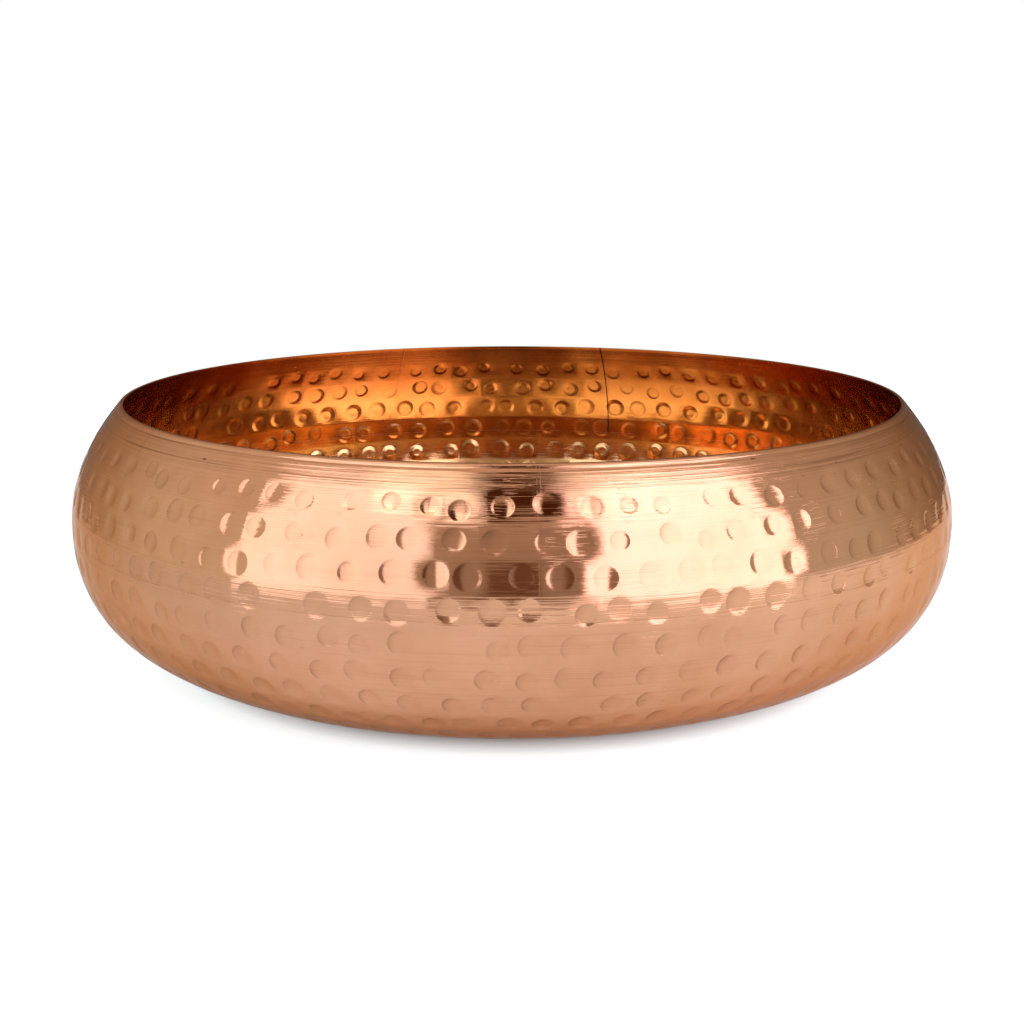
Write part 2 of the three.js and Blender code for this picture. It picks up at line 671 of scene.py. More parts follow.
@dataclass(frozen=True)
class Crease:
    """A fine line along one edge of a strip of filler, where it stands lower than the sheet.

    It fades out before the drop that it reaches, and a broken one comes and goes.
    """

    face: Face
    edge: Edge
    width: float
    depth: float = 0.0
    finish: Finish = Finish.HAIRLINE
    reach: float = 1.0
    broken: bool = False
    fade_length: float = 4 * MM
    break_length: float = 7 * MM
    break_contrast: float = 1.8
    seen_from: float = 0.4

    def strength(self, place: Vector, drop: float) -> float:
        """Finds how strong the crease is at a point.

        Args:
            place: The point.
            drop: Its drop.

        Returns:
            The strength, from 0 to 1.
        """
        fade = held((self.reach - drop) / self.fade_length)
        if self.broken:
            fade *= held(0.5 + self.break_contrast * noise.noise(place / self.break_length))
        return fade


@dataclass
class Strip:
    """The filler of one joint, the planes that bound it and the creases along its edges."""

    name: str
    half_width: float
    creases: tuple[Crease, ...]

    def line_at(self, offset: float) -> tuple[Vector, Vector]:
        """Gives a plane along the strip.

        Args:
            offset: How far it lies from the middle of the joint, in metres.

        Returns:
            A point of the plane and its direction.
        """
        raise NotImplementedError

    def press(self, bm: bmesh.types.BMesh) -> None:
        """Sinks the creases into the faces of the strip.

        Args:
            bm: The mesh of the strip.
        """
        layers = bm.verts.layers.float
        for crease in self.creases:
            sign = crease.edge.value
            point, direction = self.line_at(sign * (self.half_width - crease.width))
            bmesh.ops.bisect_plane(
                bm,
                geom=everything(bm),
                dist=ON_PLANE,
                plane_co=point,
                plane_no=direction,
            )
            for vert in bm.verts:
                past = (vert.co - point).dot(direction) * sign
                if past > 2 * TOUCHING and round(vert[layers["face"]]) == crease.face.value:
                    vert.co += self._sink(vert.co, vert[layers["drop"]], crease)
            for each in bm.faces:
                middle = each.calc_center_median()
                drop = sum(v[layers["drop"]] for v in each.verts) / len(each.verts)
                is_past = (middle - point).dot(direction) * sign > 0
                is_seen = crease.strength(middle, drop) > crease.seen_from
                if each.material_index == crease.face.value and is_past and is_seen:
                    each.material_index = crease.finish.value

    def _sink(self, place: Vector, drop: float, crease: Crease) -> Vector:
        """Works out how a vertex in a crease moves.

        Args:
            place: Where the vertex is.
            drop: Its drop.
            crease: The crease that it lies in.

        Returns:
            The move, level and into the sheet.
        """
        inwards = -1 if crease.face is Face.OUTSIDE else 1
        radial = Vector((place.x, place.y, 0)).normalized()
        return inwards * crease.strength(place, drop) * crease.depth * radial


@dataclass
class GirthJoint(Strip):
    """The joint round the girth, between the lower bowl and the shoulder."""

    middle: float

    def line_at(self, offset: float) -> tuple[Vector, Vector]:
        """Gives a level plane at a height from the middle of the joint."""
        return Vector((0, 0, self.middle + offset)), Vector((0, 0, 1))

    def filler(self, wall: bmesh.types.BMesh) -> bmesh.types.BMesh:
        """Cuts the ring of filler out of the wall.

        Args:
            wall: The whole wall, which stays as it is.

        Returns:
            The mesh of the ring.
        """
        ring = wall.copy()
        for sign in (1, -1):
            point, up = self.line_at(sign * self.half_width)
            cut_off(ring, point, sign * up)
        self.press(ring)
        return ring

    def past(self, wall: bmesh.types.BMesh, side: Edge) -> bmesh.types.BMesh:
        """Cuts off the part of the wall above or below the joint.

        Args:
            wall: The whole wall, which stays as it is.
            side: Above the joint or below it.

        Returns:
            The mesh of that part.
        """
        part = wall.copy()
        point, up = self.line_at(side.value * self.half_width)
        cut_off(part, point, -side.value * up)
        return part


@dataclass
class UprightJoint(Strip):
    """An upright joint between two shoulder panels."""

    next_panel: str
    turn: float = field(init=False)

    def __post_init__(self) -> None:
        """Finds the joint in the frame."""
        self.turn = turn_of(self.name)

    @property
    def outwards(self) -> Vector:
        """The direction from the axis to the joint."""
        return Vector((math.sin(self.turn), -math.cos(self.turn), 0))

    def line_at(self, offset: float) -> tuple[Vector, Vector]:
        """Gives an upright plane beside the middle of the joint, on the side of higher turns."""
        onwards = Vector((math.cos(self.turn), math.sin(self.turn), 0))
        return offset * onwards, onwards

    def filler(self, shoulder: bmesh.types.BMesh) -> bmesh.types.BMesh:
        """Cuts the strip of filler out of the shoulder.

        Args:
            shoulder: The whole shoulder, which stays as it is.

        Returns:
            The mesh of the strip.
        """
        strip = shoulder.copy()
        cut_off(strip, Vector((0, 0, 0)), -self.outwards)
        for sign in (1, -1):
            point, onwards = self.line_at(sign * self.half_width)
            cut_off(strip, point, sign * onwards)
        self.press(strip)
        return strip

    def panel_after(self, shoulder: bmesh.types.BMesh, end: "UprightJoint") -> bmesh.types.BMesh:
        """Cuts out the panel between this joint and the next one round.

        Args:
            shoulder: The whole shoulder, which stays as it is.
            end: The joint at the far end of the panel.

        Returns:
            The mesh of the panel.
        """
        panel = shoulder.copy()
        point, onwards = self.line_at(self.half_width)
        cut_off(panel, point, -onwards)
        point, onwards = end.line_at(-end.half_width)
        cut_off(panel, point, onwards)
        return panel


# ---------------------------------------------------------------------------------------------
# Finishes
# ---------------------------------------------------------------------------------------------


class Recipe:
    """The nodes of one material, with short ways to add and join them."""

    def __init__(self, name: str, tree: bpy.types.NodeTree | None = None) -> None:
        """Starts empty nodes.

        Args:
            name: The name of the new material.
            tree: The nodes to fill instead of a new material's.
        """
        if tree is None:
            self.material = bpy.data.materials.new(name)
            self.material.use_nodes = True
            tree = self.material.node_tree
        self.tree = tree
        self.tree.nodes.clear()

    def node(self, kind: str, **inputs: object) -> bpy.types.Node:
        """Adds a node.

        Args:
            kind: The node's type, without its common prefix.
            **inputs: A value or a socket for each named input.

        Returns:
            The new node.
        """
        made = self.tree.nodes.new(f"ShaderNode{kind}")
        for name, value in inputs.items():
            self.feed(made.inputs[name.replace("_", " ")], value)
        return made

    def feed(self, socket: bpy.types.NodeSocket, value: object) -> None:
        """Sets an input to a value, or joins it to an output.

        Args:
            socket: The input.
            value: The value, or the output to join.
        """
        if isinstance(value, bpy.types.NodeSocket):
            self.tree.links.new(value, socket)
        else:
            socket.default_value = value

    def math(self, operation: str, *values: object, clamp: bool = False) -> bpy.types.NodeSocket:
        """Works on one or two numbers.

        Args:
            operation: The name of the operation.
            *values: The numbers or sockets.
            clamp: Whether the result is kept from 0 to 1.

        Returns:
            The socket that holds the result.
        """
        made = self.node("Math")
        made.operation, made.use_clamp = operation, clamp
        for socket, value in zip(made.inputs, values):
            self.feed(socket, value)
        return made.outputs[0]

    def plus(self, *values: object) -> bpy.types.NodeSocket:
        """Adds up two or more numbers."""
        return reduce(lambda total, value: self.math("ADD", total, value), values)

    def times(self, *values: object) -> bpy.types.NodeSocket:
        """Multiplies two or more numbers."""
        return reduce(lambda total, value: self.math("MULTIPLY", total, value), values)

    def blend(self, share: object, first: object, second: object) -> bpy.types.NodeSocket:
        """Mixes two colours.

        Args:
            share: How much of the second colour shows.
            first: The first colour.
            second: The second colour.

        Returns:
            The socket that holds the mixed colour.
        """
        made = self.node("Mix")
        made.data_type = "RGBA"
        colours = [socket for socket in made.inputs if socket.type == "RGBA"]
        self.feed(made.inputs["Factor"], share)
        self.feed(colours[0], first)
        self.feed(colours[1], second)
        return next(socket for socket in made.outputs if socket.type == "RGBA")

    def span(
        self,
        value: bpy.types.NodeSocket,
        source: tuple[float, float],
        target: tuple[float, float] = (0.0, 1.0),
    ) -> bpy.types.NodeSocket:
        """Maps a range of values to another, and holds the ends.

        Args:
            value: The value.
            source: The two values that map to the ends.
            target: The two ends.

        Returns:
            The socket that holds the mapped value.
        """
        made = self.node("MapRange", Value=value)
        made.inputs["From Min"].default_value, made.inputs["From Max"].default_value = source
        made.inputs["To Min"].default_value, made.inputs["To Max"].default_value = target
        return made.outputs[0]

    def stretched(self, across: float, down: float) -> bpy.types.NodeSocket:
        """Gives coordinates that follow the wall.

        Args:
            across: How fast they change round the wall.
            down: How fast they change down the wall.

        Returns:
            The socket that holds the coordinates.
        """
        place = self.node("SeparateXYZ", Vector=self.object_place())
        return self.node(
            "CombineXYZ",
            X=self.times(place.outputs[0], across),
            Y=self.times(place.outputs[1], across),
            Z=self.times(self.attribute("drop"), down),
        ).outputs[0]

    def attribute(self, name: str) -> bpy.types.NodeSocket:
        """Reads a value that the mesh holds at its vertices.

        Args:
            name: The name of the attribute.

        Returns:
            The socket that holds the value.
        """
        made = self.node("Attribute")
        made.attribute_name = name
        return made.outputs["Fac"]

    def object_place(self) -> bpy.types.NodeSocket:
        """Gives the object coordinates."""
        return self.node("TexCoord").outputs["Object"]

    def finish(self, surface: bpy.types.NodeSocket) -> bpy.types.Material:
        """Joins the surface to the output and gives the material."""
        self.node("OutputMaterial", Surface=surface)
        return self.material


@dataclass(frozen=True)
class Pattern:
    """A soft random pattern: its repeats in a metre, how fine its detail is and how rough.

    One with a scale down the wall follows the wall, and any other is the same every way.
    """

    across: float
    down: float | None = None
    detail: float = 3.0
    rough: float = 0.5

    def lay(self, mix: Recipe) -> bpy.types.NodeSocket:
        """Adds the pattern to a material.

        Args:
            mix: The material's nodes.

        Returns:
            The socket that holds the pattern's value, which is near a half on the whole.
        """
        if self.down is None:
            where, scale = mix.object_place(), self.across
        else:
            where, scale = mix.stretched(self.across, self.down), 1.0
        noise_node = mix.node(
            "TexNoise", Vector=where, Scale=scale, Detail=self.detail, Roughness=self.rough
        )
        return noise_node.outputs[0]


@dataclass(frozen=True)
class TarnishAndShade:
    """How copper darkens in broad patches and fine ones, and the painted shade of the struck dishes, of
    one side of each mark and of a band inside under the rim.
    """

    cloud: Pattern = Pattern(26.0, detail=4.0, rough=0.55)
    cloud_span: tuple[float, float] = (0.36, 0.66)
    cloud_share: float = 0.8
    mottle: Pattern = Pattern(140.0, rough=0.6)
    mottle_span: tuple[float, float] = (0.3, 0.75)
    mottle_share: float = 0.18
    # Painted shade: each struck dish is painted darker, by this share
    struck_shade_share: float = 0.26
    # Painted shade on the shaded side of each mark, broken up by the mottle
    edge_shade_span: tuple[float, float] = (0.04, 0.85)
    edge_shade_breaks: tuple[float, float] = (0.3, 0.6)
    edge_shade_fullness: tuple[float, float] = (0.35, 1.0)
    edge_shade_share: float = 0.5
    # The darkness of the one colour that the lathe-line dirt, the pits and the painted shade on the marks
    # darken to
    dirt: float = 0.28
    dirt_span: tuple[float, float] = (0.47, 0.3)
    dirt_share: float = 0.62
    dirt_focus: float = 2.0
    # Painted shade: an uneven, darker band inside under the rim
    rim_shade_pattern: Pattern = Pattern(60.0, 25.0)
    rim_shade_span: tuple[float, float] = (0.3, 0.7)
    rim_shade_fullness: tuple[float, float] = (0.75, 1.0)
    rim_shade_fade: float = 15 * MM
    rim_shade_tint: tuple[float, float, float] = (0.33, 0.155, 0.065)


@dataclass(frozen=True)
class Lathe:
    """The lines that the lathe leaves, which are strongest on the band under the rim."""

    fine: Pattern = Pattern(16.0, 2300.0, rough=0.65)
    fine_height: float = 0.5
    broad: Pattern = Pattern(9.0, 800.0, rough=0.6)
    broad_height: float = 1.8
    band_end: tuple[float, float] = (7.5 * MM, 9.5 * MM)
    below_band: float = 0.46
    struck_span: tuple[float, float] = (0.4, 1.0)
    on_marks: float = 0.45
    rough_span: tuple[float, float] = (0.7, 1.3)


@dataclass(frozen=True)
class Wear:
    """The scattered small pits, which are thickest near the rim, and the short fine scratches."""

    pits: tuple[float, float] = (190.0, 420.0)
    pit_size: tuple[float, float] = (0.10, 0.22)
    pit_chance: tuple[float, float] = (0.93, 0.95)
    pit_band_end: tuple[float, float] = (7.0 * MM, 14.0 * MM)
    below_pit_band: float = 0.35
    pit_share: float = 0.8
    pit_rough: float = 0.35
    pit_depth: float = 0.4
    scratches: Pattern = Pattern(60.0, 900.0, detail=1.0, rough=0.4)
    scratch_width: float = 0.012
    scratch_patches: Pattern = Pattern(90.0, detail=1.0)
    scratch_patch_span: tuple[float, float] = (0.58, 0.66)
    scratch_shine: float = 1.18
    scratch_share: float = 0.5
    scratch_rough: float = 0.08
    scratch_depth: float = 0.15


@dataclass(frozen=True)
class Shown:
    """What a surface shows from place to place, as sockets of its material."""

    struck: bpy.types.NodeSocket
    mottle: bpy.types.NodeSocket
    lines: bpy.types.NodeSocket
    band: bpy.types.NodeSocket
    pit: bpy.types.NodeSocket
    scratch: bpy.types.NodeSocket
    # Painted shade on one side of each mark, and on the inside all round each bump
    edge: bpy.types.NodeSocket


@dataclass(frozen=True)
class Metal:
    """A worked copper surface."""

    name: str
    tint: tuple[float, float, float]
    deep_tint: tuple[float, float, float]
    roughness: float
    roughness_spread: float
    lathe_lines: float
    wear: float
    # Painted shade: how dark the band inside under the rim is painted, and how far down it reaches
    rim_shade: float = 0.0
    rim_shade_reach: float = 15 * MM
    glancing_tint: tuple[float, float, float] = (0.86, 0.62, 0.46)
    relief: float = 0.11 * MM
    mottle_relief: float = 0.12
    edge_rough: float = 0.12
    tarnish_and_shade: TarnishAndShade = TarnishAndShade()
    lathe: Lathe = Lathe()
    marks: Wear = Wear()

    def make(self) -> bpy.types.Material:
        """Builds the material.

        Returns:
            The material, ready to assign.
        """
        mix = Recipe(self.name)
        shown = self._shown(mix)
        height = self._height(mix, shown)
        bump = mix.node("Bump", Strength=1.0, Distance=self.relief, Height=height)
        surface = mix.node(
            "BsdfPrincipled",
            Base_Color=self._colour(mix, shown),
            Metallic=1.0,
            Roughness=self._roughness(mix, shown),
            Specular_Tint=(*self.glancing_tint, 1),
            Normal=bump.outputs[0],
        )
        return mix.finish(surface.outputs[0])

    def _shown(self, mix: Recipe) -> Shown:
        """Lays the patterns that the colour, the roughness and the height share.

        Args:
            mix: The material's nodes.

        Returns:
            The patterns.
        """
        tarnish_and_shade, lathe = self.tarnish_and_shade, self.lathe
        mottle = tarnish_and_shade.mottle.lay(mix)
        broken = mix.span(mottle, tarnish_and_shade.edge_shade_breaks, tarnish_and_shade.edge_shade_fullness)
        return Shown(
            struck=mix.attribute("struck"),
            mottle=mottle,
            lines=lathe.fine.lay(mix),
            band=mix.span(mix.attribute("drop"), lathe.band_end, (1.0, lathe.below_band)),
            pit=self._pits(mix),
            scratch=self._scratches(mix),
            # The painted shade of the marks, broken up by the mottle
            edge=mix.times(mix.span(mix.attribute("mark_shade"), tarnish_and_shade.edge_shade_span), broken),
        )

    def _roughness(self, mix: Recipe, shown: Shown) -> bpy.types.NodeSocket:
        """Works out how rough the metal is from place to place.

        Args:
            mix: The material's nodes.
            shown: The patterns.

        Returns:
            The socket that holds the roughness.
        """
        spread = (-self.roughness_spread, self.roughness_spread)
        uneven = mix.span(mix.plus(shown.lines, shown.mottle), self.lathe.rough_span, spread)
        worn = mix.plus(
            uneven,
            self.roughness,
            mix.times(shown.pit, self.marks.pit_rough),
            mix.times(shown.edge, self.edge_rough),
        )
        return mix.math("ADD", worn, mix.times(shown.scratch, self.marks.scratch_rough), clamp=True)

    def _height(self, mix: Recipe, shown: Shown) -> bpy.types.NodeSocket:
        """Works out how high the surface stands from place to place, as a share of its relief.

        Args:
            mix: The material's nodes.
            shown: The patterns.

        Returns:
            The socket that holds the height.
        """
        lathe, marks = self.lathe, self.marks
        lines = mix.plus(
            mix.times(shown.lines, lathe.fine_height), mix.times(lathe.broad.lay(mix), lathe.broad_height)
        )
        spared = mix.span(shown.struck, lathe.struck_span, (1.0, lathe.on_marks))
        return mix.plus(
            mix.times(lines, mix.times(shown.band, spared), self.lathe_lines),
            mix.times(shown.pit, -marks.pit_depth),
            mix.times(shown.scratch, -marks.scratch_depth),
            mix.times(shown.mottle, self.mottle_relief),
        )

    def _colour(self, mix: Recipe, shown: Shown) -> bpy.types.NodeSocket:
        """Mixes the colour of the metal from its patterns.

        Args:
            mix: The material's nodes.
            shown: The patterns.

        Returns:
            The socket that holds the colour.
        """
        tarnish_and_shade, marks = self.tarnish_and_shade, self.marks
        patches = mix.plus(
            mix.span(tarnish_and_shade.cloud.lay(mix), tarnish_and_shade.cloud_span, (0.0, tarnish_and_shade.cloud_share)),
            mix.span(shown.mottle, tarnish_and_shade.mottle_span, (-tarnish_and_shade.mottle_share, tarnish_and_shade.mottle_share)),
        )
        # Each struck dish is painted darker, as painted shade.
        share = mix.math("ADD", patches, mix.times(shown.struck, tarnish_and_shade.struck_shade_share), clamp=True)
        colour = mix.blend(share, (*self.tint, 1), (*self.deep_tint, 1))
        # Painted shade: a darker, uneven band inside under the rim.
        if self.rim_shade:
            rim_shade_tint = tuple(c * f for c, f in zip(self.deep_tint, tarnish_and_shade.rim_shade_tint))
            colour = mix.blend(self._rim_shade(mix), colour, (*rim_shade_tint, 1))
        in_lines = mix.span(shown.lines, tarnish_and_shade.dirt_span)
        in_band = mix.math("POWER", shown.band, tarnish_and_shade.dirt_focus)
        dirt = mix.times(in_lines, mix.times(in_band, tarnish_and_shade.dirt_share * self.lathe_lines))
        # The lathe lines' dirt, the painted shade on one side of each mark and the pits all darken to one
        # colour
        dirt_and_shade_dark = tuple(tarnish_and_shade.dirt * channel for channel in self.deep_tint)
        for darkened in (
            dirt,
            mix.times(shown.edge, tarnish_and_shade.edge_shade_share),
            mix.times(shown.pit, marks.pit_share),
        ):
            colour = mix.blend(darkened, colour, (*dirt_and_shade_dark, 1))
        pale = tuple(min(1.0, marks.scratch_shine * channel) for channel in self.tint)
        return mix.blend(mix.times(shown.scratch, marks.scratch_share), colour, (*pale, 1))

    def _rim_shade(self, mix: Recipe) -> bpy.types.NodeSocket:
        """Finds the uneven band under the rim that is painted darker, as painted shade.

        Args:
            mix: The material's nodes.

        Returns:
            A socket that is highest at the rim and 0 past the reach of the painted shade.
        """
        tarnish_and_shade = self.tarnish_and_shade
        fade = (self.rim_shade_reach, self.rim_shade_reach + tarnish_and_shade.rim_shade_fade)
        shaded_band = mix.span(mix.attribute("drop"), fade, (self.rim_shade, 0.0))
        uneven = mix.span(tarnish_and_shade.rim_shade_pattern.lay(mix), tarnish_and_shade.rim_shade_span, tarnish_and_shade.rim_shade_fullness)
        return mix.times(shaded_band, uneven)

    def _pits(self, mix: Recipe) -> bpy.types.NodeSocket:
        """Makes scattered small pits.

        Args:
            mix: The material's nodes.

        Returns:
            A socket that is 1 in a pit and 0 elsewhere.
        """
        marks = self.marks
        cells = mix.node("TexVoronoi", Vector=mix.stretched(*marks.pits), Scale=1.0).outputs
        pit = mix.span(cells["Distance"], marks.pit_size, (1.0, 0.0))
        chance = mix.node("SeparateXYZ", Vector=cells["Color"]).outputs[0]
        here = mix.span(chance, marks.pit_chance)
        rarer = mix.span(mix.attribute("drop"), marks.pit_band_end, (1.0, marks.below_pit_band))
        return mix.times(mix.times(pit, here), mix.times(rarer, self.wear))

    def _scratches(self, mix: Recipe) -> bpy.types.NodeSocket:
        """Makes short fine scratches that run mostly round the wall.

        Args:
            mix: The material's nodes.

        Returns:
            A socket that is 1 in a scratch and 0 elsewhere.
        """
        marks = self.marks
        near = mix.math("ABSOLUTE", mix.math("SUBTRACT", marks.scratches.lay(mix), 0.5))
        line = mix.span(near, (0.0, marks.scratch_width), (1.0, 0.0))
        patch = mix.span(marks.scratch_patches.lay(mix), marks.scratch_patch_span)
        return mix.times(line, patch, self.wear)


@dataclass(frozen=True)
class Finishes:
    """The finishes of the bowl."""

    outside: Metal = Metal(
        "copper_outside", (0.65, 0.345, 0.195), (0.57, 0.285, 0.15),
        roughness=0.07, roughness_spread=0.03, lathe_lines=1.0, wear=1.0,
    )
    # The inside is painted with a darker band of shade under the rim.
    inside: Metal = Metal(
        "copper_inside", (0.8, 0.47, 0.2), (0.7, 0.38, 0.14),
        roughness=0.15, roughness_spread=0.04, lathe_lines=0.35, wear=0.7, rim_shade=0.9,
    )
    cut: Metal = Metal(
        "copper_rim", (0.78, 0.44, 0.28), (0.66, 0.33, 0.18),
        roughness=0.15, roughness_spread=0.04, lathe_lines=0.6, wear=0.6,
    )
    filler_outside: Metal = Metal(
        "brazing_outside", (0.63, 0.335, 0.185), (0.54, 0.27, 0.14),
        roughness=0.09, roughness_spread=0.03, lathe_lines=1.0, wear=1.0,
    )
    # The inside of the filler is painted with a darker band of shade under the rim.
    filler_inside: Metal = Metal(
        "brazing_inside", (0.76, 0.44, 0.18), (0.66, 0.35, 0.13),
        roughness=0.17, roughness_spread=0.04, lathe_lines=0.35, wear=0.7, rim_shade=0.9,
    )
    hairline: Metal = Metal(
        "joint_line", (0.46, 0.23, 0.12), (0.34, 0.16, 0.08),
        roughness=0.3, roughness_spread=0.1, lathe_lines=0.2, wear=0.4,
    )
    crack: Metal = Metal(
        "joint_crack", (0.1, 0.035, 0.015), (0.04, 0.014, 0.008),
        roughness=0.5, roughness_spread=0.1, lathe_lines=0.2, wear=0.4,
    )


# ---------------------------------------------------------------------------------------------
# The bowl
# ---------------------------------------------------------------------------------------------


@dataclass
class CopperBowl:
    """The lower bowl, the four shoulder panels and the filler in the joints between them."""

    profile: WallProfile = field(default_factory=WallProfile)
    finishes: Finishes = field(default_factory=Finishes)
    upright_half_width: float = 0.6 * MM

    def build(self) -> None:
        """Makes every piece of the bowl."""
        self._make_materials()
        wall = HammeredWall(self.profile).build()
        log.info("wall: %d faces", len(wall.faces))
        girth = self._girth_joint()
        self._piece("lower_bowl", girth.past(wall, Edge.LOW), is_sheet=True)
        self._piece(girth.name, girth.filler(wall), is_sheet=False)
        shoulder = girth.past(wall, Edge.HIGH)
        joints = self._upright_joints()
        for joint, after in zip(joints, joints[1:] + joints[:1]):
            self._piece(joint.next_panel, joint.panel_after(shoulder, after), is_sheet=True)
            self._piece(joint.name, joint.filler(shoulder), is_sheet=False)
        wall.free()
        shoulder.free()

    def _girth_joint(self) -> GirthJoint:
        """Describes the joint round the girth.

        Returns:
            The joint, with a broken hairline on each face.
        """
        low, high = self.profile.seam_bottom, self.profile.seam_top
        creases = (
            Crease(Face.OUTSIDE, Edge.LOW, 0.14 * MM, broken=True),
            Crease(Face.INSIDE, Edge.HIGH, 0.14 * MM, broken=True),
        )
        return GirthJoint("girth_seam", (high - low) / 2, creases, middle=(low + high) / 2)

    def _upright_joints(self) -> list[UprightJoint]:
        """Describes the four joints of the shoulder.

        Returns:
            The joints, in order round it from the front towards +X.
        """
        trace = Crease(Face.OUTSIDE, Edge.LOW, 0.1 * MM, broken=True)
        tick = Crease(Face.OUTSIDE, Edge.HIGH, 0.2 * MM, reach=11 * MM)
        crack = Crease(Face.INSIDE, Edge.HIGH, 0.42 * MM, 0.5 * MM, Finish.CRACK)
        beside = Crease(Face.INSIDE, Edge.LOW, 0.14 * MM, broken=True)
        faint = Crease(Face.INSIDE, Edge.LOW, 0.12 * MM, broken=True)
        return [
            UprightJoint(name, self.upright_half_width, creases, next_panel=next_panel)
            for name, creases, next_panel in (
                ("front_seam", (trace, tick, faint), "right_panel"),
                ("back_right_seam", (crack, beside, trace), "back_panel"),
                ("back_left_seam", (faint, trace), "left_panel"),
                ("front_left_seam", (tick, faint), "front_panel"),
            )
        ]

    def _make_materials(self) -> None:
        """Builds each finish once, in the order of the material slots."""
        chosen = self.finishes
        shared = [chosen.cut.make(), chosen.hairline.make(), chosen.crack.make()]
        self.sheet_materials = [chosen.outside.make(), chosen.inside.make(), *shared]
        self.filler_materials = [
            chosen.filler_outside.make(), chosen.filler_inside.make(), *shared,
        ]

    @staticmethod
    def _keep_facing(mesh: bpy.types.Mesh) -> None:
        """Shades a piece as part of the whole wall, so that a flush joint doesn't show as a fold.

        The flat cuts and the crack keep their own facing.

        Args:
            mesh: The piece's mesh, which holds the direction that the whole wall faced.
        """
        facing = [item.vector.copy() for item in mesh.attributes["facing"].data]
        normals = [Vector((0, 0, 1))] * len(mesh.loops)
        for each in mesh.polygons:
            if each.use_smooth and each.material_index != Finish.CRACK.value:
                for loop, vert in zip(each.loop_indices, each.vertices):
                    normals[loop] = facing[vert].normalized()
            else:
                for loop in each.loop_indices:
                    normals[loop] = each.normal.copy()
        mesh.normals_split_custom_set(normals)

    def _piece(self, node: str, bm: bmesh.types.BMesh, is_sheet: bool) -> None:
        """Turns a mesh into a finished piece that stands for a node of the frame.

        Args:
            node: The name of the node.
            bm: The mesh, which is freed.
            is_sheet: True for sheet copper, False for brazing metal.
        """
        name = f"{node}_{'sheet' if is_sheet else 'filler'}"
        mesh = bpy.data.meshes.new(name)
        bm.to_mesh(mesh)
        bm.free()
        self._keep_facing(mesh)
        for unused in ("turn", "outside", "inside", "face", "edge", "facing"):
            mesh.attributes.remove(mesh.attributes[unused])
        for material in self.sheet_materials if is_sheet else self.filler_materials:
            mesh.materials.append(material)
        piece = bpy.data.objects.new(name, mesh)
        bpy.context.scene.collection.objects.link(piece)
        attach(piece, "root")
        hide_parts(node)
        triangles = sum(len(p.vertices) - 2 for p in mesh.polygons)
        log.info("%s: %d triangles", name, triangles)


# ---------------------------------------------------------------------------------------------
# The studio
# ---------------------------------------------------------------------------------------------


@dataclass(frozen=True)
class Softbox:
    """A large flat soft light, which stands upright and faces the axis or lies level overhead."""

    name: str
    azimuth: float
    distance: float
    middle: float
    width: float
    length: float
    radiance: float
    colour: tuple[float, float, float]
    swing: float
    overhead: bool = False

    def make(self) -> None:
        """Hangs the light."""
        lamp = bpy.data.lights.new(self.name, "AREA")
        lamp.shape, lamp.size, lamp.size_y = "RECTANGLE", self.width, self.length
        lamp.energy = self.radiance * math.pi * self.width * self.length
        lamp.color = self.colour
        light = bpy.data.objects.new(self.name, lamp)
        bpy.context.scene.collection.objects.link(light)
        out = outwards(self.azimuth, 0.0)
        light.location = self.distance * out + Vector((0, 0, self.middle))
        facing = Vector((0, 0, 1)) if self.overhead else out
        swung = Quaternion((0, 0, 1), self.swing)
        light.rotation_euler = (facing.to_track_quat("Z", "Y") @ swung).to_euler()
        light.visible_camera = False


@dataclass(frozen=True)
class Flag:
    """A dark card that hangs in front of the bowl and shows only in reflections."""

    name: str
    azimuth: float
    elevation: float
    distance: float
    width: float
    height: float
    shade: tuple[float, float, float]

    def make(self, target: Vector) -> None:
        """Hangs the card.

        Args:
            target: The point that it faces.
        """
        out = outwards(self.azimuth, self.elevation)
        place = Matrix.Translation(target + self.distance * out)
        bm = bmesh.new()
        bmesh.ops.create_grid(bm, x_segments=1, y_segments=1, size=0.5)
        bmesh.ops.scale(bm, vec=(self.width, self.height, 1), verts=bm.verts[:])
        bm.transform(place @ out.to_track_quat("Z", "Y").to_matrix().to_4x4())
        card = stage_piece(self.name, bm, matt(f"{self.name}_paint", self.shade))
        card.visible_camera = False
        card.visible_diffuse = False
        card.visible_shadow = False


def outwards(azimuth: float, elevation: float) -> Vector:
    """Gives a direction away from the bowl.

    Args:
        azimuth: Its angle round from the front towards +X, in radians.
        elevation: Its angle above level, in radians.

    Returns:
        The direction, one long.
    """
    level = math.cos(elevation)
    return Vector((math.sin(azimuth) * level, -math.cos(azimuth) * level, math.sin(elevation)))


def matt(name: str, shade: tuple[float, float, float]) -> bpy.types.Material:
    """Makes a plain matt paint."""
    paint = Recipe(name)
    return paint.finish(paint.node("BsdfDiffuse", Color=(*shade, 1)).outputs[0])


def stage_piece(name: str, bm: bmesh.types.BMesh, paint: bpy.types.Material) -> bpy.types.Object:
    """Turns a mesh into an object of the studio.

    Args:
        name: The object's name.
        bm: The mesh, which is freed.
        paint: Its material.

    Returns:
        The new object.
    """
    mesh = bpy.data.meshes.new(name)
    bm.to_mesh(mesh)
    bm.free()
    mesh.materials.append(paint)
    piece = bpy.data.objects.new(name, mesh)
    bpy.context.scene.collection.objects.link(piece)
    return piece


